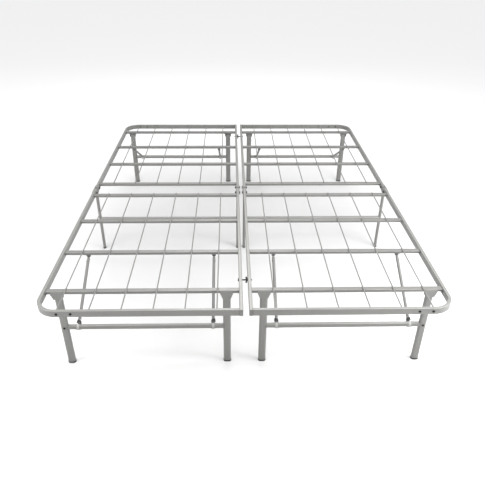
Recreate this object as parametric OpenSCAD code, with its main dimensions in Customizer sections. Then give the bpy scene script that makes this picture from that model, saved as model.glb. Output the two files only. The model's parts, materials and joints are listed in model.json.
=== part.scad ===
// Folding platform bed frame.
// Two half-width frames lie side by side. Each is hinged at mid length over its own centre legs,
// and has a leg frame with two braces under each end, which fold flat below the slats.
// The origin is the middle of the footprint on the floor, with +Y towards the head end.

/* [Bed] */
// Width over the two side rails
bed_w = 1524; // [1200:1:1900]
// Length over the two end rails
bed_l = 2032; // [1600:1:2450]
// Height from the floor to the top of the rails
bed_h = 366; // [290:1:450]
// Gap between the two half frames
half_gap = 22; // [18:1:40]

/* [Rails] */
// Width of the rail tube
rail_w = 13; // [10:0.5:18]
// Height of the rail tube
rail_h = 27; // [22:0.5:34]
// Wall of the rail tube
rail_wall = 1.5; // [1:0.1:2]
// Radius of the rail tube's long edges
rail_edge = 2.5; // [2.2:0.1:4]
// Outer radius of the bent corner
corner_r = 80; // [50:1:110]

/* [Slats] */
// Width of a slat
slat_w = 22; // [18:0.5:30]
// Height of a slat
slat_h = 12; // [10:0.5:16]
// Wall of the slat tube
slat_wall = 1.2; // [0.8:0.1:2]
// Radius of the slat's long edges
slat_edge = 2.5; // [2.2:0.1:4]
// Slats in each quarter of the bed
slat_count = 4; // [4:1:6]
// Distance from the fold to the nearest slat
slat_first = 68; // [62:1:90]
// Distance from the end of the bed to the last slat
slat_inset = 132; // [115:1:160]

/* [Wires] */
// Diameter of a wire
wire_d = 5; // [3:0.5:6]
// Wires in each quarter of the bed
wire_count = 6; // [4:1:8]
// Distance from the inner edge to the first wire
wire_first = 94; // [84:1:100]
// Distance from the outer edge to the last wire
wire_last = 87; // [60:1:92]

/* [Legs] */
// Width of an end leg
leg_w = 30; // [24:0.5:36]
// Depth of an end leg
leg_d = 20; // [16:0.5:24]
// Wall of a leg
leg_wall = 1.5; // [1:0.1:2]
// Radius of a leg's long edges
leg_edge = 9.5; // [2.2:0.1:9.5]
// Distance from the inner edge to the inner leg
leg_in = 60; // [50:1:70]
// Distance from the outer edge to the outer leg
leg_out = 55; // [45:1:60]
// Width of a centre leg
mid_leg_w = 14; // [12:0.5:22]
// Depth of a centre leg
mid_leg_d = 18; // [16:0.5:24]
// Height of the stretchers' centres above the floor
stretcher_z = 183; // [150:1:210]
// Diameter of a stretcher
stretcher_d = 20; // [16:0.5:22]
// Wall of a stretcher
stretcher_wall = 1.2; // [0.8:0.1:2]
// Height of a foot cap
foot_h = 6; // [5:0.5:16]
// Thickness of a foot cap's floor
foot_floor = 3; // [2:0.5:5]
// Thickness of a foot cap's side
foot_side = 1; // [0.8:0.1:2]

/* [Leg brackets] */
// Thickness of the bracket plates
plate_t = 2; // [1.5:0.1:3]
// Width of a leg bracket where it meets the slat
bracket_w = 48; // [44:1:56]
// Radius of a leg pin
pin_r = 4; // [3:0.25:5]
// Metal left around a leg pin's hole in the bracket
pin_land = 7; // [4:0.5:8]
// Height of the stop plate's lower edge above the lowest point of the side plates
stop_lift = 1; // [0.5:0.25:3]
// Thickness of a rivet head
rivet_t = 2; // [1:0.25:3]
// Rim of a leg's rivet head beyond its pin
rivet_rim = 2.5; // [1:0.25:3.5]

/* [Braces] */
// Diameter of a brace
brace_d = 12; // [10:0.5:13]
// Wall of a brace
brace_wall = 1.2; // [0.8:0.1:2]
// Distance from the inner edge to the inner brace
brace_in = 115; // [108:1:130]
// Distance from the outer edge to the outer brace
brace_out = 108; // [102:1:130]
// Thickness of the flat end of a brace
lug_t = 5; // [3:0.5:7]
// Radius of a brace pin
brace_pin_r = 3; // [2:0.25:3.5]
// Metal left around a brace pin's hole in the bracket
brace_land = 3.5; // [2:0.5:4]
// Rim of a brace's rivet head beyond its pin
brace_rivet_rim = 1.5; // [1:0.25:2.5]
// Width of a brace bracket where it meets the slat
brace_bracket_w = 18; // [16:1:24]
// Width of a clip along the stretcher
clip_w = 14; // [10:1:18]
// Thickness of a clip's hook
clip_t = 3.2; // [2:0.2:4]
// Length of a clip's sleeve
sleeve_l = 14; // [12:0.5:18]
// Wall of a clip's sleeve at its mouth
sleeve_mouth = 1; // [0.8:0.1:1.6]
// Wall of a clip's sleeve next to the hook
sleeve_wall = 2; // [1.6:0.1:3]
// Thickness of the sleeve's floor
sleeve_floor = 3; // [2:0.5:4]
// Distance from the sleeve to the hook's bore
hook_gap = 4.6; // [4.2:0.1:6]

/* [Fold] */
// Distance from the middle of the bed to a fold bolt
fold_pivot = 30; // [26:1:40]
// Distance from the middle of the bed to the end of a rail
fold_gap = 5; // [4:0.5:8]
// Thickness of a fold bracket
fold_t = 2.5; // [2:0.1:4]
// Radius of the round ends of a fold bracket
fold_r = 12; // [10:0.5:13]
// Length of the fold bracket's floor
fold_web = 30; // [26:1:34]
// Radius of a fold bolt
bolt_r = 4; // [3:0.25:5]
// Radius over the corners of a fold bolt's head and nut
hex_r = 7; // [6:0.25:8]
// Thickness of a fold bolt's head
head_t = 3.5; // [2:0.25:5]
// Thickness of a fold bolt's nut
nut_t = 4; // [3:0.25:6]

/* [Connectors] */
// Distance from the end of the bed to the bolt that joins the halves
link_inset = 204; // [180:1:230]
// Radius of the bolt that joins the halves
link_r = 3; // [2:0.25:4]
// Radius of the joining bolt's head
link_head_r = 6; // [5:0.25:8]
// Radius of the wing nut's hub
wing_hub_r = 6; // [5:0.25:8]
// Length of the wing nut along its bolt
wing_l = 8; // [6:0.5:9]
// Span of the wing nut
wing_span = 26; // [22:1:30]
// Radius of a wing's round end
wing_r = 3.5; // [2:0.25:4]
// Thickness of the wings
wing_t = 3; // [2:0.5:4]

/* [Holes] */
// Radius of the headboard and footboard holes
board_r = 4.25; // [3:0.25:5]
// Spacing of the headboard and footboard holes
board_pitch = 50; // [40:1:60]
// Distance from the outer edge to the nearer board hole
board_inset = 87; // [86:1:120]
// Distance from the end of the bed to the hole in a side rail
side_hole_inset = 118; // [115:1:160]

/* [Fits] */
// Radial clearance of a bore that turns on its pin
run_clear = 0.08; // [0.02:0.01:0.1]
// Side clearance between a moving part and the plate next to it
side_clear = 0.4; // [0.2:0.1:1]
// Space above the end of a part that turns under a slat
top_clear = 1; // [0.5:0.1:2]
// Radial clearance between a clip and its stretcher
clip_clear = 0.4; // [0.2:0.1:1]

/* [Hidden] */
$fn = 48;

// Each quarter of the bed: name, side along X, end along Y
QUARTERS = [
    ["foot_left", -1, -1], ["foot_right", 1, -1], ["head_left", -1, 1], ["head_right", 1, 1]
];

// Within a quarter, x runs outwards from the inner edge and y runs from the fold to the end
half_w = (bed_w - half_gap) / 2;
half_l = bed_l / 2;
through = 1;

// Half the least width of a tube's flat side, and the least inside radius of its edges
least_flat = 0.5;
leg_edge_r = min(leg_edge, leg_w / 2 - least_flat, leg_d / 2 - least_flat);
mid_edge_r = min(leg_edge, mid_leg_w / 2 - least_flat, mid_leg_d / 2 - least_flat);

// Heights
rail_z = bed_h - rail_h / 2;
slat_top = bed_h - wire_d;
slat_z = slat_top - slat_h / 2;
slat_under = slat_top - slat_h;
leg_drop = leg_d / 2 + top_clear + plate_t;
leg_pivot_z = slat_under - leg_drop;
brace_drop = brace_d / 2 + top_clear + plate_t;
brace_pivot_z = slat_under - brace_drop;
fold_floor_z = bed_h - rail_h - side_clear * 2;
mid_leg_top = fold_floor_z - fold_t;

// Rows
slat_pitch = (half_l - slat_inset - slat_first) / (slat_count - 1);
function slat_y(i) = slat_first + i * slat_pitch;
wire_pitch = (half_w - wire_first - wire_last) / (wire_count - 1);
function wire_x(i) = wire_first + i * wire_pitch;
wire_start = slat_first - slat_w / 4;
leg_y = slat_y(slat_count - 1);
brace_y = slat_y(slat_count - 2);
leg_xs = [leg_in, half_w - leg_out];
brace_xs = [brace_in, half_w - brace_out];
rail_xs = [rail_w / 2, half_w - rail_w / 2];

// Fold bracket
fold_x = rail_w / 2 + side_clear;

// Leg bracket: the inside and outside of its side plates, and the plate that faces the end
cheek_x = leg_w / 2 + side_clear;
cheek_outer = cheek_x + plate_t;
stop_y = max(leg_d / 2 + side_clear, slat_w / 2);
stop_top = leg_drop + slat_h - slat_edge;
pin_plate_r = pin_r + pin_land;
stop_base = stop_lift - pin_plate_r;
step_w = (bracket_w / 2 + cheek_outer) / 2;
step_h = leg_drop / 2;
stop_edge = [
    [bracket_w / 2, stop_top], [bracket_w / 2, step_h], [step_w, step_h], [step_w, 0],
    [cheek_outer, -pin_r], [cheek_outer, stop_base]
];
function both_sides(edge) = concat(edge, [for (i = [len(edge) - 1 : -1 : 0]) [-edge[i][0], edge[i][1]]]);

// Brace: from its pivot to the stretcher
brace_rise = brace_pivot_z - stretcher_z;
brace_run = leg_y - brace_y;
brace_l = sqrt(pow(brace_run, 2) + pow(brace_rise, 2));
brace_tilt = atan2(brace_rise, brace_run);
lug_x = lug_t / 2 + side_clear;
brace_plate_r = brace_pin_r + brace_land;
lug_l = brace_d * 2;
hook_r = stretcher_d / 2 + clip_clear;
hook_outer = hook_r + clip_t;
sleeve_r = brace_d / 2 + sleeve_wall;
sleeve_end = brace_l - hook_r - hook_gap;
sleeve_start = sleeve_end - sleeve_l;
tube_end = sleeve_end - sleeve_floor;

// Connector
link_y = half_l - link_inset;
wing_x = half_gap / 2 - wing_l - side_clear;

frame_grey = [0.62, 0.62, 0.61];
steel_dark = [0.22, 0.22, 0.23];
plastic_black = [0.1, 0.1, 0.1];
nylon_light = [0.8, 0.8, 0.78];

// Places a quarter's part on its side and at its end of the bed
module quarter(side, end) {
    mirror([side < 0 ? 1 : 0, 0, 0])
        mirror([0, end < 0 ? 1 : 0, 0])
            translate([half_gap / 2, 0, 0])
                children();
}

module round_rect(w, h, r) {
    square([w - 2 * r, h], center = true);
    square([w, h - 2 * r], center = true);
    for (x = [-1, 1], y = [-1, 1])
        translate([x * (w / 2 - r), y * (h / 2 - r)])
            circle(r);
}

module tube_profile(w, h, wall, r) {
    difference() {
        round_rect(w, h, r);
        round_rect(w - 2 * wall, h - 2 * wall, max(r - wall, least_flat));
    }
}

module rail_profile() {
    tube_profile(rail_w, rail_h, rail_wall, rail_edge);
}

// Runs a profile along X or along Y, its own second axis upright
module along_x(length) {
    rotate([90, 0, 90])
        linear_extrude(length)
            children();
}

module along_y(length) {
    rotate([90, 0, 180])
        linear_extrude(length)
            children();
}

// A cylinder centred on a point and lying along X or along Y
module rod_x(r, length) {
    rotate([0, 90, 0])
        cylinder(r = r, h = length, center = true);
}

module rod_y(r, length) {
    rotate([90, 0, 0])
        cylinder(r = r, h = length, center = true);
}

// The side rail, its bent corner and the end rail, in one bent tube
module outer_rail() {
    color(frame_grey)
        difference() {
            union() {
                translate([half_w - rail_w / 2, fold_gap, rail_z])
                    along_y(half_l - corner_r - fold_gap)
                        rail_profile();
                translate([half_w - corner_r, half_l - corner_r, rail_z])
                    rotate_extrude(angle = 90, $fn = 128)
                        translate([corner_r - rail_w / 2, 0])
                            rail_profile();
                translate([rail_w, half_l - rail_w / 2, rail_z])
                    along_x(half_w - corner_r - rail_w)
                        rail_profile();
            }
            for (i = [0, 1])
                translate([half_w - board_inset - i * board_pitch, half_l - rail_w / 2, rail_z])
                    rod_y(board_r, rail_w + through);
            translate([half_w - rail_w / 2, half_l - side_hole_inset, rail_z])
                rod_x(board_r, rail_w + through);
            translate([half_w - rail_w / 2, fold_pivot, rail_z])
                rod_x(bolt_r + run_clear, rail_w + through);
        }
}

module inner_rail(link_clear) {
    color(frame_grey)
        difference() {
            translate([rail_w / 2, fold_gap, rail_z])
                along_y(half_l - fold_gap)
                    rail_profile();
            translate([rail_w / 2, fold_pivot, rail_z])
                rod_x(bolt_r + run_clear, rail_w + through);
            translate([rail_w / 2, link_y, rail_z])
                rod_x(link_r + link_clear, rail_w + through);
        }
}

module slats() {
    color(frame_grey)
        for (i = [0 : slat_count - 1])
            translate([rail_w, slat_y(i), slat_z])
                along_x(half_w - 2 * rail_w)
                    tube_profile(slat_w, slat_h, slat_wall, slat_edge);
}

module wires() {
    color(frame_grey)
        for (i = [0 : wire_count - 1])
            translate([wire_x(i), wire_start, slat_top + wire_d / 2])
                rotate([-90, 0, 0])
                    cylinder(d = wire_d, h = half_l - rail_w - wire_start, $fn = 24);
}

// Bracket under a slat that a leg turns in, about its pivot
module leg_bracket() {
    difference() {
        union() {
            translate([-bracket_w / 2, -slat_w / 2, leg_drop - plate_t])
                cube([bracket_w, slat_w / 2 + stop_y + plate_t, plate_t]);
            translate([0, stop_y + plate_t, 0])
                rotate([90, 0, 0])
                    linear_extrude(plate_t)
                        polygon(both_sides(stop_edge));
            for (s = [-1, 1])
                translate([s * (cheek_x + plate_t / 2), 0, 0])
                    leg_cheek();
        }
        rod_x(pin_r, bracket_w);
    }
}

module leg_cheek() {
    rod_x(pin_plate_r, plate_t);
    translate([-plate_t / 2, -pin_plate_r, 0])
        cube([plate_t, pin_plate_r + stop_y + plate_t, leg_drop]);
    translate([-plate_t / 2, 0, stop_base])
        cube([plate_t, stop_y + plate_t, pin_plate_r]);
}

// Bracket under a slat that a brace turns in, about its pivot
module brace_bracket() {
    difference() {
        union() {
            translate([-brace_bracket_w / 2, -slat_w / 2, brace_drop - plate_t])
                cube([brace_bracket_w, slat_w, plate_t]);
            for (s = [-1, 1])
                translate([s * (lug_x + plate_t / 2), 0, 0]) {
                    rod_x(brace_plate_r, plate_t);
                    translate([-plate_t / 2, -brace_plate_r, 0])
                        cube([plate_t, brace_plate_r * 2, brace_drop]);
                }
        }
        rod_x(brace_pin_r, brace_plate_r * 3);
    }
}

module brackets() {
    color(frame_grey) {
        for (x = leg_xs)
            translate([x, leg_y, leg_pivot_z])
                leg_bracket();
        for (x = brace_xs)
            translate([x, brace_y, brace_pivot_z])
                brace_bracket();
    }
}

// A pin with a rivet head against each side plate
module rivet(r, head_r, reach) {
    rod_x(r, reach * 2);
    for (s = [-1, 1])
        translate([s * (reach + rivet_t / 2), 0, 0])
            rod_x(head_r, rivet_t);
}

module pins() {
    color(steel_dark) {
        for (x = leg_xs)
            translate([x, leg_y, leg_pivot_z])
                rivet(pin_r, pin_r + rivet_rim, cheek_outer);
        for (x = brace_xs)
            translate([x, brace_y, brace_pivot_z])
                rivet(brace_pin_r, brace_pin_r + brace_rivet_rim, lug_x + plate_t);
    }
}

// Outline of a leg's inside or outside, with a round top about its pivot
module leg_solid(inset) {
    r = leg_d / 2 - inset;
    intersection() {
        translate([0, 0, foot_floor - (inset > 0 ? through : 0)])
            linear_extrude(leg_pivot_z + leg_d)
                round_rect(leg_w - 2 * inset, leg_d - 2 * inset, leg_edge_r - inset);
        union() {
            translate([-leg_w, -leg_d, -leg_d])
                cube([leg_w * 2, leg_d * 2, leg_pivot_z + leg_d]);
            translate([0, 0, leg_pivot_z])
                rod_x(r, leg_w * 2);
        }
    }
}

module end_leg(x, has_hole) {
    color(frame_grey)
        translate([x, leg_y, 0])
            difference() {
                leg_solid(0);
                leg_solid(leg_wall);
                translate([0, 0, leg_pivot_z])
                    rod_x(pin_r + run_clear, leg_w + through);
                if (has_hole)
                    translate([0, leg_d / 2, stretcher_z])
                        rod_y(board_r, leg_wall * 4);
            }
}

// A round tube along X between two legs, its ends shaped to the legs' round sides
module stretcher(xs, y, w, d, edge) {
    length = xs[1] - xs[0] - w + edge;
    color(frame_grey)
        difference() {
            translate([(xs[0] + xs[1]) / 2, y, stretcher_z])
                rod_x(stretcher_d / 2, length);
            translate([(xs[0] + xs[1]) / 2, y, stretcher_z])
                rod_x(stretcher_d / 2 - stretcher_wall, length + through);
            for (x = xs)
                translate([x, y, 0])
                    linear_extrude(stretcher_z * 2)
                        round_rect(w, d, edge);
        }
}

// A cap that a leg's lower end stands in
module foot_cap(w, d, edge) {
    color(plastic_black)
        difference() {
            linear_extrude(foot_h)
                round_rect(w + 2 * foot_side, d + 2 * foot_side, edge + foot_side);
            translate([0, 0, foot_floor])
                linear_extrude(foot_h)
                    round_rect(w, d, edge);
        }
}

module feet() {
    for (x = leg_xs)
        translate([x, leg_y, 0])
            foot_cap(leg_w, leg_d, leg_edge_r);
}

// Things on the brace's own line: y along it from the pivot, z square to it
module along_brace(x) {
    translate([x, brace_y, brace_pivot_z])
        rotate([-brace_tilt, 0, 0])
            children();
}

module brace() {
    difference() {
        union() {
            rod_x(brace_d / 2, lug_t);
            translate([-lug_t / 2, 0, -brace_d / 2])
                cube([lug_t, lug_l, brace_d]);
            translate([0, brace_d, 0])
                rotate([-90, 0, 0])
                    cylinder(d = brace_d, h = tube_end - brace_d);
        }
        translate([0, lug_l, 0])
            rotate([-90, 0, 0])
                cylinder(d = brace_d - 2 * brace_wall, h = brace_l);
        rod_x(brace_pin_r + run_clear, lug_t + through);
    }
}

module braces() {
    color(frame_grey)
        for (x = brace_xs)
            along_brace(x)
                brace();
}

// Hook on the lower end of a brace, open on the side that the stretcher leaves by
module clip() {
    difference() {
        union() {
            translate([0, sleeve_start, 0])
                rotate([-90, 0, 0])
                    cylinder(r1 = brace_d / 2 + sleeve_mouth, r2 = sleeve_r, h = sleeve_l);
            translate([-clip_w / 2, sleeve_end - sleeve_r, -hook_r])
                cube([clip_w, brace_l - hook_r / 2 - sleeve_end + sleeve_r, hook_r - brace_d / 2]);
            translate([0, brace_l, 0])
                intersection() {
                    rod_x(hook_outer, clip_w);
                    translate([-clip_w, -hook_r, -2 * hook_outer])
                        cube([clip_w * 2, hook_r * 3, 2 * hook_outer]);
                }
            translate([-clip_w / 4, brace_l - clip_t / 2, -hook_outer - clip_t])
                cube([clip_w / 2, clip_t, clip_t * 2]);
        }
        translate([0, brace_l, 0])
            rod_x(hook_r, clip_w + through);
        translate([-clip_w, sleeve_end, -brace_d / 2])
            cube([clip_w * 2, hook_r, hook_r]);
        translate([0, sleeve_start - through, 0])
            rotate([-90, 0, 0])
                cylinder(d = brace_d, h = tube_end - sleeve_start + through);
    }
}

module clips() {
    color(nylon_light)
        for (x = brace_xs)
            along_brace(x)
                clip();
}

// Plate beside a rail that carries the two fold bolts
module fold_cheek() {
    for (s = [-1, 1])
        translate([0, s * fold_pivot, rail_z])
            rod_x(fold_r, fold_t);
    translate([-fold_t / 2, -fold_pivot, rail_z - fold_r])
        cube([fold_t, fold_pivot * 2, fold_r * 2]);
    translate([-fold_t / 2, -fold_web / 2, mid_leg_top])
        cube([fold_t, fold_web, rail_z - mid_leg_top]);
}

module fold_bracket() {
    difference() {
        union() {
            for (s = [-1, 1])
                translate([s * (fold_x + fold_t / 2), 0, 0])
                    fold_cheek();
            translate([-fold_x - fold_t / 2, -fold_web / 2, mid_leg_top])
                cube([fold_x * 2 + fold_t, fold_web, fold_t]);
        }
        for (s = [-1, 1])
            translate([0, s * fold_pivot, rail_z])
                rod_x(bolt_r, (fold_x + fold_t) * 2 + through);
    }
}

module fold_brackets() {
    color(frame_grey)
        for (side = [-1, 1])
            quarter(side, 1)
                for (x = rail_xs)
                    translate([x, 0, 0])
                        fold_bracket();
}

// Places a fold bolt's part: x runs from the head's side of the rail towards the slats
module at_fold_bolts() {
    for (side = [-1, 1], end = [-1, 1])
        quarter(side, end)
            for (i = [0, 1])
                translate([rail_xs[i], fold_pivot, rail_z])
                    mirror([i, 0, 0])
                        children();
}

module fold_bolts() {
    reach = fold_x + fold_t;
    color(steel_dark)
        at_fold_bolts() {
            translate([-reach - head_t, 0, 0])
                rotate([0, 90, 0])
                    cylinder(r = hex_r, h = head_t, $fn = 6);
            translate([-reach, 0, 0])
                rotate([0, 90, 0])
                    cylinder(r = bolt_r, h = 2 * reach + nut_t + through);
        }
}

module fold_nuts() {
    color(steel_dark)
        at_fold_bolts()
            translate([fold_x + fold_t, 0, 0])
                rotate([0, 90, 0])
                    difference() {
                        cylinder(r = hex_r, h = nut_t, $fn = 6);
                        translate([0, 0, -through])
                            cylinder(r = bolt_r, h = nut_t + 2 * through);
                    }
}

module centre_legs() {
    color(frame_grey)
        for (side = [-1, 1])
            quarter(side, 1)
                for (x = rail_xs)
                    translate([x, 0, foot_floor])
                        linear_extrude(mid_leg_top - foot_floor)
                            tube_profile(mid_leg_w, mid_leg_d, leg_wall, mid_edge_r);
}

module centre_feet() {
    for (side = [-1, 1])
        quarter(side, 1)
            for (x = rail_xs)
                translate([x, 0, 0])
                    foot_cap(mid_leg_w, mid_leg_d, mid_edge_r);
}

module centre_stretchers() {
    for (side = [-1, 1])
        quarter(side, 1)
            stretcher(rail_xs, 0, mid_leg_w, mid_leg_d, mid_edge_r);
}

// The bolt that joins the two halves, its head on the left
module link_bolt() {
    reach = half_gap / 2 + rail_w;
    color(steel_dark)
        translate([0, link_y, rail_z]) {
            translate([-reach - head_t, 0, 0])
                rotate([0, 90, 0])
                    cylinder(r = link_head_r, h = head_t);
            translate([-reach, 0, 0])
                rotate([0, 90, 0])
                    cylinder(r = link_r, h = 2 * reach + head_t);
        }
}

// The nut in the gap, next to the right half
module wing_nut() {
    color(plastic_black)
        translate([wing_x, link_y, rail_z])
            difference() {
                union() {
                    rotate([0, 90, 0])
                        cylinder(r = wing_hub_r, h = wing_l);
                    translate([wing_l / 4, -wing_t / 2, wing_r - wing_span / 2])
                        cube([wing_l / 2, wing_t, wing_span - 2 * wing_r]);
                    for (s = [-1, 1])
                        translate([wing_l / 2, 0, s * (wing_span / 2 - wing_r)])
                            rod_y(wing_r, wing_t);
                }
                rod_x(link_r + run_clear, wing_l * 4);
            }
}

centre_legs();
centre_stretchers();
centre_feet();
fold_brackets();
fold_bolts();
fold_nuts();

// The link bolt is tight in the foot end's left rail and in the head end's right rail
for (q = QUARTERS)
    quarter(q[1], q[2]) {
        outer_rail();
        inner_rail(q[1] == q[2] ? 0 : run_clear);
        slats();
        wires();
        brackets();
        pins();
        end_leg(leg_xs[1], true);
        end_leg(leg_xs[0], false);
        stretcher(leg_xs, leg_y, leg_w, leg_d, leg_edge_r);
        feet();
        braces();
        clips();
    }

for (end = [["foot", 0], ["head", 180]])
    rotate([0, 0, end[1]])
        mirror([0, 1, 0]) {
            link_bolt();
            wing_nut();
        }
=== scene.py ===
import json
import math

import bmesh
import bpy
from mathutils import Matrix, Vector


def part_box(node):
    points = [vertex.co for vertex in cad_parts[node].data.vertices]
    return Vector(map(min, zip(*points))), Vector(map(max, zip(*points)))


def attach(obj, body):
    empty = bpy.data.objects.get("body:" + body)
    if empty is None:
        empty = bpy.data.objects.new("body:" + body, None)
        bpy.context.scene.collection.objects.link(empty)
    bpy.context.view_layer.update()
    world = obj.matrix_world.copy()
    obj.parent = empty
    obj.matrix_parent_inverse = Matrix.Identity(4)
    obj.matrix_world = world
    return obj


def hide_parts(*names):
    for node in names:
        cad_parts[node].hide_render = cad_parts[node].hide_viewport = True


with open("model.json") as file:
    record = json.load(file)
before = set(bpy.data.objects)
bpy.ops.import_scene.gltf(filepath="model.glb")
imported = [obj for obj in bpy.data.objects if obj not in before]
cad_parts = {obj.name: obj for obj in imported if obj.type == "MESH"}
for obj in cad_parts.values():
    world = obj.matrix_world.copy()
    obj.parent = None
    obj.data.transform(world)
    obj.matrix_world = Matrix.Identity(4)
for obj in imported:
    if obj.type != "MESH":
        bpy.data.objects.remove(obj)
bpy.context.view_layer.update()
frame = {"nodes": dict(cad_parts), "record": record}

# Folding platform bed frame. Everything is in metres, in the CAD model's own frame.
# Helpers work in quarter coordinates: x and y are distances from the bed's two centre lines,
# and a quarter's side and end put them on its own side of each.
QUARTERS = {
    "foot_left": (-1, -1),
    "foot_right": (1, -1),
    "head_left": (-1, 1),
    "head_right": (1, 1),
}

# Sizes that the visual shares with the CAD model
SLATS = 4
SLAT_WIDTH = 0.022
WIRES = 6
WIRE = 0.005
RAIL_WIDTH = 0.013
TUBE_EDGE = 0.0025
LEG_Y = 0.884
LEG_WIDTH = 0.030
LEG_EDGE = 0.0095
LEG_FLAT = 0.0005
CENTRE_LEG_WIDTH = 0.014
CENTRE_LEG_EDGE = 0.0065
CENTRE_LEG_FLAT = 0.0025
STRETCHER_Z = 0.183
STRETCHER_RADIUS = 0.0100
CLIP_WIDTH = 0.014
BRACE_Y = 0.612
BRACE_PIVOT_Z = 0.340
BRACE_RUN = LEG_Y - BRACE_Y
BRACE_RISE = BRACE_PIVOT_Z - STRETCHER_Z
BRACE_LENGTH = math.hypot(BRACE_RUN, BRACE_RISE)
END_HOLE_INSETS = (0.087, 0.137)
SIDE_HOLE_INSET = 0.118

# Weld beads and nuggets
BEAD_PITCH = 0.0016
BEAD_RIPPLE = 0.13
SLAT_BEAD = 0.0014
CORNER_BEAD = 0.0016
CORNER_TOP_BEAD = 0.0012
BRACKET_BEAD = 0.0011
LEG_BRACKET_HALF = 0.022
BRACE_BRACKET_HALF = 0.008
STRETCHER_BEAD = 0.0014
CENTRE_BEAD = 0.0013
CENTRE_BEAD_INSET = 0.003
CROSSING_NUGGET = (0.0036, 0.0062, 0.0012)
CROSSING_RISE = 0.0004
WIRE_END_NUGGET = (0.0034, 0.0018, 0.0030)

# Closing plates in the rails' ends: (depth, inset) of each step, and the corner radius
PLATE_STEPS = ((0.0004, 0.0016), (0.0, 0.0022), (0.0024, 0.0022))
PLATE_CORNER = 0.0014

# Turned shapes: (distance along the axis, radius)
INSERT_PROFILE = (
    (-0.0100, 0.0041), (-0.0004, 0.0041), (0.0002, 0.0052), (0.0007, 0.0050), (0.0007, 0.0042),
    (-0.0006, 0.0036), (-0.0018, 0.0033), (-0.0026, 0.0036), (-0.0034, 0.0033), (-0.0042, 0.0036),
    (-0.0050, 0.0033), (-0.0090, 0.0033), (-0.0092, 0.0003),
)
BAND_PROFILE = (
    (-0.0046, 0.00995), (-0.0044, 0.0102), (-0.0038, 0.01028),
    (0.0038, 0.01028), (0.0044, 0.0102), (0.0046, 0.00995),
)
HUB_PROFILE = (
    (-0.0038, 0.0040), (-0.0040, 0.0046), (-0.0036, 0.0052),
    (0.0024, 0.0060), (0.0038, 0.0060), (0.0040, 0.0056),
)

# A wing nut's wing: (height, half width, half thickness) from the hub to the tip of its round lobe
WING_PROFILE = (
    (0.0020, 0.0030, 0.0030), (0.0052, 0.0024, 0.0020), (0.0064, 0.0017, 0.0014), (0.0074, 0.0019, 0.0014),
    (0.0084, 0.0031, 0.0018), (0.0096, 0.0038, 0.0021), (0.0109, 0.0040, 0.0022), (0.0122, 0.0037, 0.0020),
    (0.0134, 0.0028, 0.0016), (0.0142, 0.0015, 0.0010), (0.0145, 0.0004, 0.0003),
)
WING_LEAN = -0.10
WING_SIDES = 16

# A clip's black pad, painted shade for the shadow in the clip's open end: (distance down the brace, inner
# radius, outer radius)
SLEEVE_START = BRACE_LENGTH - 0.029
SLEEVE_END = BRACE_LENGTH - 0.015
SHADE_PAD_PROFILE = (
    (SLEEVE_START + 0.001, 0.0069, 0.0074),
    (SLEEVE_START + 0.002, 0.0070, 0.0077),
    (SLEEVE_END - 0.004, 0.0076, 0.0088),
    (SLEEVE_END - 0.001, 0.0079, 0.0093),
    (SLEEVE_END, 0.0079, 0.0089),
)
SHADE_PAD_ARC = math.radians(78)
SHADE_PAD_STEPS = 14

# A brace's end, pressed from a round tube to a flat lug
CRIMP_START = 0.009
CRIMP_LENGTH = 0.022
CRIMP_STEPS = 8
CRIMP_SIDES = 24
LUG_HALF_THICKNESS = 0.0027
LUG_HALF_HEIGHT = 0.0066
LUG_SQUARENESS = 0.45
BRACE_RADIUS = 0.0061

# Radius of the broken edges, by the last word of a node's name
BEVELS = {
    "brackets": 0.0006, "pins": 0.0008, "bolts": 0.0006, "nuts": 0.0006,
    "bolt": 0.0006, "braces": 0.0008, "clips": 0.0005, "feet": 0.0008,
}
BEVEL_ANGLE = math.radians(40)
JOIN_DISTANCE = 0.00001

# Soft boxes: name, place, the point that it faces, width and height, watts
SOFTBOXES = (
    ("overhead", (0.0, -0.4, 3.4), (0.0, 0.0, 0.3), (3.0, 2.0), 30.0),
    ("behind", (-0.1, 2.2, 3.0), (-0.1, -1.0, 0.3), (1.3, 1.0), 45.0),
    ("left", (-1.9, -1.2, 1.1), (-1.5, -1.0, 0.0), (1.0, 2.6), 30.0),
    ("right", (1.8, -1.2, 1.1), (1.3, -1.0, 0.0), (1.0, 2.6), 66.0),
)

CAMERA_LENS = 38.406
CAMERA_SENSOR = 36.0
CAMERA_PLACE = (-0.0525, -2.4631, 1.5285)
CAMERA_YAW = 1.457
CAMERA_PITCH = 31.331
CAMERA_ROLL = 0.462
FLOOR_HALF = 40.0


# ---------------------------------------------------------------- materials

def new_material(name):
    mat = bpy.data.materials.new(name)
    mat.use_nodes = True
    tree = mat.node_tree
    tree.nodes.clear()
    out = tree.nodes.new("ShaderNodeOutputMaterial")
    shader = tree.nodes.new("ShaderNodeBsdfPrincipled")
    tree.links.new(shader.outputs["BSDF"], out.inputs["Surface"])
    coords = tree.nodes.new("ShaderNodeTexCoord").outputs["Object"]
    return mat, tree, shader, coords


def noise(tree, coords, scale, detail=3.0, roughness=0.55, stretch=None):
    """A noise pattern with features of about 1 / scale metres, stretched along an axis if asked."""
    if stretch:
        mapping = tree.nodes.new("ShaderNodeMapping")
        mapping.inputs["Scale"].default_value = stretch
        tree.links.new(coords, mapping.inputs["Vector"])
        coords = mapping.outputs["Vector"]
    node = tree.nodes.new("ShaderNodeTexNoise")
    node.inputs["Scale"].default_value = scale
    node.inputs["Detail"].default_value = detail
    node.inputs["Roughness"].default_value = roughness
    tree.links.new(coords, node.inputs["Vector"])
    return node.outputs["Fac"]


def remap(tree, value, low, high, to_low, to_high):
    node = tree.nodes.new("ShaderNodeMapRange")
    for key, number in zip(("From Min", "From Max", "To Min", "To Max"), (low, high, to_low, to_high)):
        node.inputs[key].default_value = number
    tree.links.new(value, node.inputs["Value"])
    return node.outputs["Result"]


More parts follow.
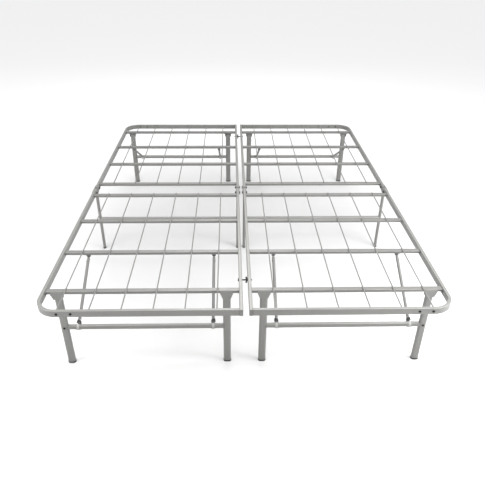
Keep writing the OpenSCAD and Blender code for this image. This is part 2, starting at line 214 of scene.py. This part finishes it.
def blend_colours(tree, factor, first, second):
    """factor mixes two colours. Either may be a colour or another node's output."""
    node = tree.nodes.new("ShaderNodeMix")
    node.data_type = "RGBA"
    tree.links.new(factor, node.inputs["Factor"])
    for key, colour in ((6, first), (7, second)):
        if isinstance(colour, tuple):
            node.inputs[key].default_value = (*colour, 1)
        else:
            tree.links.new(colour, node.inputs[key])
    return node.outputs[2]


def add_bump(tree, shader, layers):
    """Stacks bump layers. Each is (height, depth in metres, strength)."""
    normal = None
    for height, depth, strength in layers:
        node = tree.nodes.new("ShaderNodeBump")
        node.inputs["Distance"].default_value = depth
        node.inputs["Strength"].default_value = strength
        tree.links.new(height, node.inputs["Height"])
        if normal:
            tree.links.new(normal, node.inputs["Normal"])
        normal = node.outputs["Normal"]
    tree.links.new(normal, shader.inputs["Normal"])


def shade(colour, factor):
    return tuple(c * factor for c in colour)


def powder_coat(name, shade_factor):
    """Satin silver-grey powder coat: a soft tone drift, metal flake and orange peel. A factor below 1
    gives a darker copy of the same coat, which is painted shade.
    """
    mat, tree, shader, coords = new_material(name)
    drift = remap(tree, noise(tree, coords, 5.0), 0.3, 0.7, 0.0, 1.0)
    flake = remap(tree, noise(tree, coords, 1600.0, 1.0), 0.35, 0.65, 0.0, 1.0)
    dark = shade((0.172, 0.171, 0.163), shade_factor)
    light = shade((0.196, 0.194, 0.186), shade_factor)
    tone = blend_colours(tree, drift, dark, light)
    colour = blend_colours(tree, flake, tone, shade((0.222, 0.220, 0.212), shade_factor))
    tree.links.new(colour, shader.inputs["Base Color"])
    rough = remap(tree, noise(tree, coords, 70.0, 4.0), 0.3, 0.7, 0.38, 0.50)
    tree.links.new(rough, shader.inputs["Roughness"])
    shader.inputs["Metallic"].default_value = 0.35
    shader.inputs["Coat Weight"].default_value = 0.12
    shader.inputs["Coat Roughness"].default_value = 0.3
    peel = noise(tree, coords, 420.0, 2.0)
    grain = noise(tree, coords, 1900.0, 2.0)
    add_bump(tree, shader, [(peel, 0.0004, 0.25), (grain, 0.00015, 0.2)])
    return mat


def weld_coat():
    """The same coat over a weld: a little darker, with the weld's ripples and spatter."""
    mat, tree, shader, coords = new_material("coated_weld")
    soot = remap(tree, noise(tree, coords, 160.0, 4.0), 0.35, 0.65, 0.0, 1.0)
    colour = blend_colours(tree, soot, (0.140, 0.137, 0.129), (0.188, 0.185, 0.177))
    tree.links.new(colour, shader.inputs["Base Color"])
    rough = remap(tree, noise(tree, coords, 300.0, 3.0), 0.3, 0.7, 0.40, 0.60)
    tree.links.new(rough, shader.inputs["Roughness"])
    shader.inputs["Metallic"].default_value = 0.3
    add_bump(tree, shader, [(noise(tree, coords, 700.0, 3.0), 0.0004, 0.4)])
    return mat


def zinc_plate():
    """Dark zinc plate with a faint warm and cool cast and fine turning marks."""
    mat, tree, shader, coords = new_material("dark_zinc_plate")
    cast = remap(tree, noise(tree, coords, 90.0, 3.0), 0.3, 0.7, 0.0, 1.0)
    colour = blend_colours(tree, cast, (0.034, 0.034, 0.032), (0.050, 0.051, 0.054))
    tree.links.new(colour, shader.inputs["Base Color"])
    rough = remap(tree, noise(tree, coords, 500.0, 4.0), 0.3, 0.7, 0.26, 0.42)
    tree.links.new(rough, shader.inputs["Roughness"])
    shader.inputs["Metallic"].default_value = 0.6
    marks = noise(tree, coords, 900.0, 2.0, stretch=(4.0, 1.0, 1.0))
    add_bump(tree, shader, [(marks, 0.0002, 0.2)])
    return mat


def moulded_plastic(name, dark, light):
    """Moulded plastic with a spark-eroded grain and faint scuffs."""
    mat, tree, shader, coords = new_material(name)
    drift = remap(tree, noise(tree, coords, 60.0, 4.0), 0.3, 0.7, 0.0, 1.0)
    tree.links.new(blend_colours(tree, drift, dark, light), shader.inputs["Base Color"])
    rough = remap(tree, noise(tree, coords, 350.0, 4.0), 0.3, 0.7, 0.42, 0.62)
    tree.links.new(rough, shader.inputs["Roughness"])
    shader.inputs["Specular IOR Level"].default_value = 0.4
    add_bump(tree, shader, [(noise(tree, coords, 1500.0, 2.0), 0.0002, 0.35)])
    return mat


def studio_floor():
    """A pale floor with painted shadow: darker near the bed and whiter away from it, with a faint drift in
    tone.
    """
    mat, tree, shader, coords = new_material("studio_floor")
    distance = tree.nodes.new("ShaderNodeVectorMath")
    distance.operation = "LENGTH"
    tree.links.new(coords, distance.inputs[0])
    # Painted shadow under the bed: the colour is darkest within 0.7 m of the bed's centre and whitens out
    # to 2.6 m.
    away = remap(tree, distance.outputs["Value"], 0.7, 2.6, 0.0, 1.0)
    drift = remap(tree, noise(tree, coords, 0.4, 2.0), 0.3, 0.7, 0.0, 1.0)
    near = blend_colours(tree, drift, (0.49, 0.49, 0.49), (0.51, 0.51, 0.51))
    tree.links.new(blend_colours(tree, away, near, (0.86, 0.86, 0.86)), shader.inputs["Base Color"])
    shader.inputs["Roughness"].default_value = 0.9
    shader.inputs["Specular IOR Level"].default_value = 0.1
    return mat


# ---------------------------------------------------------------- mesh helpers

def finish_piece(bm, name, body, material, smooth=True):
    """Turns a bmesh into a piece that rides on a body."""
    bmesh.ops.recalc_face_normals(bm, faces=bm.faces)
    mesh = bpy.data.meshes.new(name)
    bm.to_mesh(mesh)
    bm.free()
    for face in mesh.polygons:
        face.use_smooth = smooth
    mesh.materials.append(material)
    piece = bpy.data.objects.new(name, mesh)
    bpy.context.scene.collection.objects.link(piece)
    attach(piece, body)
    return piece


def place(point, side, end):
    return Vector((side * point[0], end * point[1], point[2]))


def loft(bm, rings, closed=False):
    """Skins rings of points, and caps both ends unless the loft closes on itself."""
    rows = [[bm.verts.new(p) for p in ring] for ring in rings]
    count = len(rows[0])
    spans = len(rows) if closed else len(rows) - 1
    for i in range(spans):
        a, b = rows[i], rows[(i + 1) % len(rows)]
        for j in range(count):
            k = (j + 1) % count
            bm.faces.new((a[j], a[k], b[k], b[j]))
    if not closed:
        bm.faces.new(rows[0][::-1])
        bm.faces.new(rows[-1])


def sweep(bm, points, radii, sides=8, closed=False):
    """A round tube along points, with a radius at each."""
    rings = []
    count = len(points)
    for i, point in enumerate(points):
        before = points[i - 1] if i > 0 or closed else points[i]
        after = points[(i + 1) % count] if i < count - 1 or closed else points[i]
        along = (after - before).normalized()
        helper = Vector((0, 0, 1)) if abs(along.z) < 0.9 else Vector((1, 0, 0))
        u = along.cross(helper).normalized()
        v = along.cross(u)
        turn = [2 * math.pi * j / sides for j in range(sides)]
        rings.append([point + radii[i] * (math.cos(a) * u + math.sin(a) * v) for a in turn])
    loft(bm, rings, closed)


def bead(bm, start, stop, radius):
    """A straight weld bead with the ripples of a moving arc, thin at both ends."""
    length = (stop - start).length
    steps = max(8, int(length / BEAD_PITCH * 4))
    points = []
    radii = []
    for i in range(steps + 1):
        t = i / steps
        ripple = 1 + BEAD_RIPPLE * math.cos(2 * math.pi * t * length / BEAD_PITCH)
        taper = min(1.0, 0.35 + 6 * min(t, 1 - t))
        points.append(start.lerp(stop, t))
        radii.append(radius * ripple * taper)
    sweep(bm, points, radii)


def saddle_bead(bm, centre, inward, edge, flat):
    """A rippled weld bead round a stretcher, where it meets a leg's round side.

    inward points from the leg to the stretcher, 1 or -1 along X. edge is the radius of the leg's
    edges, and flat is half the width of its flat side.
    """
    length = 2 * math.pi * STRETCHER_RADIUS
    ripples = round(length / BEAD_PITCH / 1.4)
    steps = ripples * 4
    points = []
    radii = []
    for i in range(steps):
        a = 2 * math.pi * i / steps
        y = STRETCHER_RADIUS * math.cos(a)
        past_flat = min(max(abs(y) - flat, 0.0), edge * 0.87)
        drop = edge - math.sqrt(edge * edge - past_flat * past_flat)
        points.append(centre + Vector((-inward * drop, y, STRETCHER_RADIUS * math.sin(a))))
        radii.append(STRETCHER_BEAD * (1 + BEAD_RIPPLE * math.cos(a * ripples)))
    sweep(bm, points, radii, closed=True)


def nugget(bm, centre, size):
    """A small round weld nugget."""
    made = bmesh.ops.create_icosphere(bm, subdivisions=2, radius=1.0)
    bmesh.ops.scale(bm, verts=made["verts"], vec=size)
    bmesh.ops.translate(bm, verts=made["verts"], vec=centre)


def rounded_outline(width, height, radius, steps=5):
    """Points round a rectangle with round corners, centred on the origin."""
    points = []
    for quarter, (sx, sy) in enumerate(((1, 1), (-1, 1), (-1, -1), (1, -1))):
        for i in range(steps + 1):
            a = math.pi / 2 * (quarter + i / steps)
            x = sx * (width / 2 - radius) + radius * math.cos(a)
            y = sy * (height / 2 - radius) + radius * math.sin(a)
            points.append((x, y))
    return points


def disc_ring(centre, axis, radius, sides):
    """A circle of points about an axis."""
    helper = Vector((0, 0, 1)) if abs(axis.z) < 0.9 else Vector((1, 0, 0))
    u = axis.cross(helper).normalized()
    v = axis.cross(u).normalized()
    turn = [2 * math.pi * j / sides for j in range(sides)]
    return [centre + radius * (math.cos(a) * u + math.sin(a) * v) for a in turn]


def turned(bm, centre, axis, profile, sides):
    """A turned shape, with its profile from one end to the other."""
    loft(bm, [disc_ring(centre + axis * along, axis, radius, sides) for along, radius in profile])


# ---------------------------------------------------------------- places, from the frame

def quarter_box(node):
    """A node's box in quarter coordinates: lowest and highest distance from each centre line."""
    low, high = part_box(node)
    xs = sorted((abs(low.x), abs(high.x)))
    ys = sorted((abs(low.y), abs(high.y)))
    return Vector((xs[0], ys[0], low.z)), Vector((xs[1], ys[1], high.z))


def spread(low, high, width, count):
    """Centres of a row of equal things of one width that fills low to high."""
    first = low + width / 2
    last = high - width / 2
    return [first + (last - first) * i / (count - 1) for i in range(count)]


def leg_xs(name):
    """The inner and outer legs' distances from the bed's long centre line."""
    return [sum(quarter_box(f"{name}_{leg}_leg"), Vector()).x / 2 for leg in ("inner", "outer")]


def brace_xs(name):
    """The inner and outer braces' distances from the bed's long centre line."""
    low, high = quarter_box(f"{name}_clips")
    return [low.x + CLIP_WIDTH / 2, high.x - CLIP_WIDTH / 2]


# ---------------------------------------------------------------- welds

def slat_welds(bm, name, side, end):
    """Beads down both sides and under each slat, where it meets its two rails."""
    low, high = quarter_box(f"{name}_slats")
    for y in spread(low.y, high.y, SLAT_WIDTH, SLATS):
        for x in (low.x, high.x):
            for edge in (-SLAT_WIDTH / 2, SLAT_WIDTH / 2):
                top = place((x, y + edge, high.z - TUBE_EDGE), side, end)
                base = place((x, y + edge, low.z + TUBE_EDGE), side, end)
                bead(bm, top, base, SLAT_BEAD)
            left = place((x, y - SLAT_WIDTH / 2 + TUBE_EDGE, low.z), side, end)
            right = place((x, y + SLAT_WIDTH / 2 - TUBE_EDGE, low.z), side, end)
            bead(bm, left, right, SLAT_BEAD)


def wire_welds(bm, name, side, end):
    """A nugget where each wire crosses a slat, and one where it meets the end rail."""
    slats_low, slats_high = quarter_box(f"{name}_slats")
    low, high = quarter_box(f"{name}_wires")
    rows = spread(slats_low.y, slats_high.y, SLAT_WIDTH, SLATS)
    for x in spread(low.x, high.x, WIRE, WIRES):
        for y in rows:
            nugget(bm, place((x, y, low.z + CROSSING_RISE), side, end), CROSSING_NUGGET)
        nugget(bm, place((x, high.y, low.z + WIRE / 2), side, end), WIRE_END_NUGGET)


def corner_weld(bm, name, side, end):
    """Beads where the end rail butts on the inner rail."""
    low, high = quarter_box(f"{name}_inner_rail")
    x = high.x
    for y in (high.y - RAIL_WIDTH, high.y):
        top = place((x, y, high.z - TUBE_EDGE), side, end)
        base = place((x, y, low.z + TUBE_EDGE), side, end)
        bead(bm, top, base, CORNER_BEAD)
    for z in (low.z, high.z):
        a = place((x, high.y - RAIL_WIDTH + TUBE_EDGE, z), side, end)
        b = place((x, high.y - TUBE_EDGE, z), side, end)
        bead(bm, a, b, CORNER_TOP_BEAD)


def bracket_welds(bm, name, side, end):
    """Beads along both edges of each slat that carries brackets, over the brackets' width."""
    slats_low, slats_high = quarter_box(f"{name}_slats")
    rows = spread(slats_low.y, slats_high.y, SLAT_WIDTH, SLATS)
    z = slats_low.z
    leg_row = (leg_xs(name), rows[-1], LEG_BRACKET_HALF)
    brace_row = (brace_xs(name), rows[-2], BRACE_BRACKET_HALF)
    for centres, y, half in (leg_row, brace_row):
        for x in centres:
            for edge in (-SLAT_WIDTH / 2, SLAT_WIDTH / 2):
                a = place((x - half, y + edge, z), side, end)
                b = place((x + half, y + edge, z), side, end)
                bead(bm, a, b, BRACKET_BEAD)


def end_plates(bm, name, side, end):
    """Thin welded plates that close the rails' open ends."""
    for rail in ("inner_rail", "outer_rail"):
        low, high = quarter_box(f"{name}_{rail}")
        ends = [(low.y, 1)]
        if rail == "inner_rail":
            ends.append((high.y, -1))
            x = (low.x + high.x) / 2
        else:
            x = high.x - RAIL_WIDTH / 2
        z = (low.z + high.z) / 2
        for y, inward in ends:
            rings = []
            for depth, inset in PLATE_STEPS:
                shape = rounded_outline(RAIL_WIDTH - 2 * inset, high.z - low.z - 2 * inset, PLATE_CORNER)
                rings.append([place((x + px, y + inward * depth, z + pz), side, end) for px, pz in shape])
            loft(bm, rings)


def leg_frame_welds(bm, name, side, end):
    """Beads round the stretcher's ends, where they meet the two legs."""
    inner, outer = leg_xs(name)
    for x, inward in ((inner + LEG_WIDTH / 2, 1), (outer - LEG_WIDTH / 2, -1)):
        centre = place((x, LEG_Y, STRETCHER_Z), side, end)
        saddle_bead(bm, centre, side * inward, LEG_EDGE, LEG_FLAT)


def centre_welds(bm):
    """Beads where the centre legs meet their stretchers and their fold brackets."""
    legs_low, legs_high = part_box("centre_legs")
    bracket_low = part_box("fold_brackets")[0]
    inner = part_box("foot_right_inner_rail")
    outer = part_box("foot_right_outer_rail")
    rails = [(inner[0].x + inner[1].x) / 2, outer[1].x - RAIL_WIDTH / 2]
    for side in (-1, 1):
        for x, out in ((rails[0], 1), (rails[1], -1)):
            centre = Vector((side * (x + out * CENTRE_LEG_WIDTH / 2), 0, STRETCHER_Z))
            saddle_bead(bm, centre, side * out, CENTRE_LEG_EDGE, CENTRE_LEG_FLAT)
            half = CENTRE_LEG_WIDTH / 2 - CENTRE_BEAD_INSET
            for y in (legs_low.y, legs_high.y):
                a = Vector((side * x - half, y, bracket_low.z))
                b = Vector((side * x + half, y, bracket_low.z))
                bead(bm, a, b, CENTRE_BEAD)


# ---------------------------------------------------------------- the CAD nodes' materials and edges

PAINT = powder_coat("silver_powder_coat", 1.0)
# The wires, slats and braces take darker copies of the same coat: painted shade, not a different finish.
WIRE_SHADED_PAINT = powder_coat("wire_coat_painted_shade", 0.85)
SLAT_SHADED_PAINT = powder_coat("slat_coat_painted_shade", 0.82)
BRACE_SHADED_PAINT = powder_coat("brace_coat_painted_shade", 0.66)
WELD = weld_coat()
ZINC = zinc_plate()
BLACK = moulded_plastic("black_plastic", (0.020, 0.020, 0.020), (0.032, 0.032, 0.033))
NYLON = moulded_plastic("natural_nylon", (0.33, 0.33, 0.32), (0.40, 0.40, 0.39))
SLOT_MATERIALS = {"frame": PAINT, "hardware": ZINC, "plastic": BLACK, "nylon": NYLON}
SHADED_NODE_MATERIALS = {"wires": WIRE_SHADED_PAINT, "slats": SLAT_SHADED_PAINT, "braces": BRACE_SHADED_PAINT}

def round_edges(node, width):
    """Breaks a node's sharp edges, as pressing, turning or moulding leaves them."""
    weld = node.modifiers.new("join", "WELD")
    weld.merge_threshold = JOIN_DISTANCE
    bevel = node.modifiers.new("edges", "BEVEL")
    bevel.width = width
    bevel.segments = 2
    bevel.limit_method = "ANGLE"
    bevel.angle_limit = BEVEL_ANGLE
    shading = node.modifiers.new("shading", "WEIGHTED_NORMAL")
    shading.keep_sharp = False


def finish_nodes():
    """Gives every CAD node its material, and breaks the edges of the small ones."""
    slots = {row["node"]: row["material_slot"] for row in frame["record"]["subparts"]}
    for name, node in frame["nodes"].items():
        node.data.materials.clear()
        kind = name.split("_")[-1]
        # Wires, slats and braces get the darker copies of the coat, which paint shade into their colour.
        node.data.materials.append(SHADED_NODE_MATERIALS.get(kind) or SLOT_MATERIALS[slots[name]])
        width = BEVELS.get(kind)
        if width:
            round_edges(node, width)


# ---------------------------------------------------------------- small pieces

def brace_axes(side, end):
    """A brace's own directions: down its length, and square to it on the outer, upper side."""
    along = Vector((0, end * BRACE_RUN, -BRACE_RISE)).normalized()
    outward = Vector((0, end * BRACE_RISE, BRACE_RUN)).normalized()
    return along, outward


def clip_shade_pads(bm, name, side, end):
    """A black pad round the outer side of each clip's sleeve, wider towards the stretcher: painted shade
    standing for the shadow in the clip's open end.
    """
    along, outward = brace_axes(side, end)
    for x in brace_xs(name):
        pivot = place((x, BRACE_Y, BRACE_PIVOT_Z), side, end)
        rings = []
        for distance, inner, outer in SHADE_PAD_PROFILE:
            middle = pivot + along * distance
            turn = [-SHADE_PAD_ARC + 2 * SHADE_PAD_ARC * i / SHADE_PAD_STEPS for i in range(SHADE_PAD_STEPS + 1)]
            arc = [Vector((math.sin(a), 0, 0)) + outward * math.cos(a) for a in turn]
            rings.append([middle + outer * d for d in arc] + [middle + inner * d for d in reversed(arc)])
        loft(bm, rings)


def brace_crimps(bm, name, side, end):
    """Where each brace's round tube is pressed flat for its pin."""
    along, outward = brace_axes(side, end)
    for x in brace_xs(name):
        pivot = place((x, BRACE_Y, BRACE_PIVOT_Z), side, end)
        rings = []
        for i in range(CRIMP_STEPS + 1):
            t = i / CRIMP_STEPS
            blend = t * t * (3 - 2 * t)
            half_x = LUG_HALF_THICKNESS + (BRACE_RADIUS - LUG_HALF_THICKNESS) * blend
            half_n = LUG_HALF_HEIGHT + (BRACE_RADIUS - LUG_HALF_HEIGHT) * blend
            middle = pivot + along * (CRIMP_START + CRIMP_LENGTH * t)
            power = LUG_SQUARENESS + (1 - LUG_SQUARENESS) * blend
            ring = []
            for j in range(CRIMP_SIDES):
                a = 2 * math.pi * j / CRIMP_SIDES
                c = math.copysign(abs(math.cos(a)) ** power, math.cos(a))
                n = math.copysign(abs(math.sin(a)) ** power, math.sin(a))
                ring.append(middle + Vector((half_x * c, 0, 0)) + outward * (half_n * n))
            rings.append(ring)
        loft(bm, rings)


def stretcher_bands(bm, name, side, end):
    """Thin nylon sleeves round the stretcher, which the clips snap on to."""
    for x in brace_xs(name):
        centre = place((x, LEG_Y, STRETCHER_Z), side, end)
        turned(bm, centre, Vector((1, 0, 0)), BAND_PROFILE, 40)


def insert(bm, mouth, outward):
    """A threaded insert pressed into a hole: a thin collar, a countersink and a dark blind bore."""
    turned(bm, mouth, outward, INSERT_PROFILE, 24)


def panel_inserts(bm, name, side, end):
    """Inserts in the end rail's two holes and the side rail's one."""
    low, high = quarter_box(f"{name}_outer_rail")
    z = (low.z + high.z) / 2
    for inset in END_HOLE_INSETS:
        insert(bm, place((high.x - inset, high.y, z), side, end), Vector((0, end, 0)))
    insert(bm, place((high.x, high.y - SIDE_HOLE_INSET, z), side, end), Vector((side, 0, 0)))


def leg_insert(bm, name, side, end):
    """An insert in the outer leg's end-facing hole."""
    face = quarter_box(f"{name}_outer_leg")[1].y
    insert(bm, place((leg_xs(name)[1], face, STRETCHER_Z), side, end), Vector((0, end, 0)))


def wing_nut(end_name, side):
    """A moulded wing nut in place of the plain one: a coned hub, two necks and two round wings."""
    node = f"{end_name}_wing_nut"
    low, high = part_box(node)
    centre = (low + high) / 2
    bm = bmesh.new()
    axis = Vector((side, 0, 0))
    turned(bm, centre, axis, HUB_PROFILE, 28)
    for up in (-1, 1):
        rings = []
        for height, half_x, half_y in WING_PROFILE:
            middle = centre + Vector((0, 0, up * height)) + axis * (WING_LEAN * height)
            turn = [2 * math.pi * j / WING_SIDES for j in range(WING_SIDES)]
            rings.append([middle + Vector((half_x * math.cos(a), half_y * math.sin(a), 0)) for a in turn])
        loft(bm, rings)
    piece = finish_piece(bm, f"{node}_detail", f"{node}_body", BLACK)
    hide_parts(node)


def build_quarter(name, side, end):
    panel = bmesh.new()
    slat_welds(panel, name, side, end)
    wire_welds(panel, name, side, end)
    corner_weld(panel, name, side, end)
    bracket_welds(panel, name, side, end)
    finish_piece(panel, f"{name}_panel_welds", f"{name}_panel", WELD)
    plates = bmesh.new()
    end_plates(plates, name, side, end)
    finish_piece(plates, f"{name}_end_plates", f"{name}_panel", PAINT, smooth=False)
    holes = bmesh.new()
    panel_inserts(holes, name, side, end)
    finish_piece(holes, f"{name}_panel_inserts", f"{name}_panel", ZINC)
    legs = bmesh.new()
    leg_frame_welds(legs, name, side, end)
    finish_piece(legs, f"{name}_leg_welds", f"{name}_leg_frame", WELD)
    hole = bmesh.new()
    leg_insert(hole, name, side, end)
    finish_piece(hole, f"{name}_leg_insert", f"{name}_leg_frame", ZINC)
    bands = bmesh.new()
    stretcher_bands(bands, name, side, end)
    finish_piece(bands, f"{name}_stretcher_bands", f"{name}_leg_frame", NYLON)
    # Black pads on the clips: painted shade for the shadowed opening of each clip.
    pads = bmesh.new()
    clip_shade_pads(pads, name, side, end)
    finish_piece(pads, f"{name}_clip_shade_pads", f"{name}_brace_pair", BLACK)
    crimps = bmesh.new()
    brace_crimps(crimps, name, side, end)
    finish_piece(crimps, f"{name}_brace_crimps", f"{name}_brace_pair", BRACE_SHADED_PAINT)


# ---------------------------------------------------------------- camera, light and floor

def build_camera():
    """A camera at standing height, off the middle of the foot end."""
    data = bpy.data.cameras.new("camera")
    data.lens = CAMERA_LENS
    data.sensor_width = CAMERA_SENSOR
    camera = bpy.data.objects.new("camera", data)
    bpy.context.scene.collection.objects.link(camera)
    yaw, pitch, roll = (math.radians(a) for a in (CAMERA_YAW, CAMERA_PITCH, CAMERA_ROLL))
    forward = Vector((math.sin(yaw) * math.cos(pitch), math.cos(yaw) * math.cos(pitch), -math.sin(pitch)))
    level = Vector((math.cos(yaw), -math.sin(yaw), 0.0))
    upright = level.cross(forward)
    right = level * math.cos(roll) + upright * math.sin(roll)
    up = upright * math.cos(roll) - level * math.sin(roll)
    turn = Matrix((right, up, -forward)).transposed().to_4x4()
    camera.matrix_world = Matrix.Translation(CAMERA_PLACE) @ turn
    bpy.context.scene.camera = camera


def build_light():
    """A soft sky, brighter overhead than near the horizon, and the soft boxes."""
    world = bpy.data.worlds.new("studio")
    bpy.context.scene.world = world
    world.use_nodes = True
    tree = world.node_tree
    tree.nodes.clear()
    out = tree.nodes.new("ShaderNodeOutputWorld")
    sky = tree.nodes.new("ShaderNodeBackground")
    tree.links.new(sky.outputs["Background"], out.inputs["Surface"])
    split = tree.nodes.new("ShaderNodeSeparateXYZ")
    tree.links.new(tree.nodes.new("ShaderNodeTexCoord").outputs["Generated"], split.inputs["Vector"])
    strength = remap(tree, split.outputs["Z"], 0.35, 0.8, 0.5, 1.7)
    tree.links.new(strength, sky.inputs["Strength"])
    for row in SOFTBOXES:
        add_softbox(*row)


def add_softbox(name, position, aim, size, watts):
    """A rectangular lamp that faces a point. The camera doesn't see the lamp itself."""
    lamp = bpy.data.lights.new(name, "AREA")
    lamp.shape = "RECTANGLE"
    lamp.size, lamp.size_y = size
    lamp.energy = watts
    holder = bpy.data.objects.new(name, lamp)
    holder.visible_camera = False
    holder.location = position
    holder.rotation_euler = (Vector(position) - Vector(aim)).to_track_quat("Z", "Y").to_euler()
    bpy.context.scene.collection.objects.link(holder)


def build_floor():
    """The studio floor, wide enough to reach the horizon."""
    bm = bmesh.new()
    bmesh.ops.create_grid(bm, x_segments=2, y_segments=2, size=FLOOR_HALF)
    mesh = bpy.data.meshes.new("floor")
    bm.to_mesh(mesh)
    bm.free()
    mesh.materials.append(studio_floor())
    floor = bpy.data.objects.new("floor", mesh)
    bpy.context.scene.collection.objects.link(floor)


finish_nodes()
for quarter, (side, end) in QUARTERS.items():
    build_quarter(quarter, side, end)
centre = bmesh.new()
centre_welds(centre)
finish_piece(centre, "centre_welds", "centre_frame", WELD)
wing_nut("foot", 1)
wing_nut("head", -1)
build_camera()
build_light()
build_floor()
bpy.context.scene.view_settings.view_transform = "Standard"
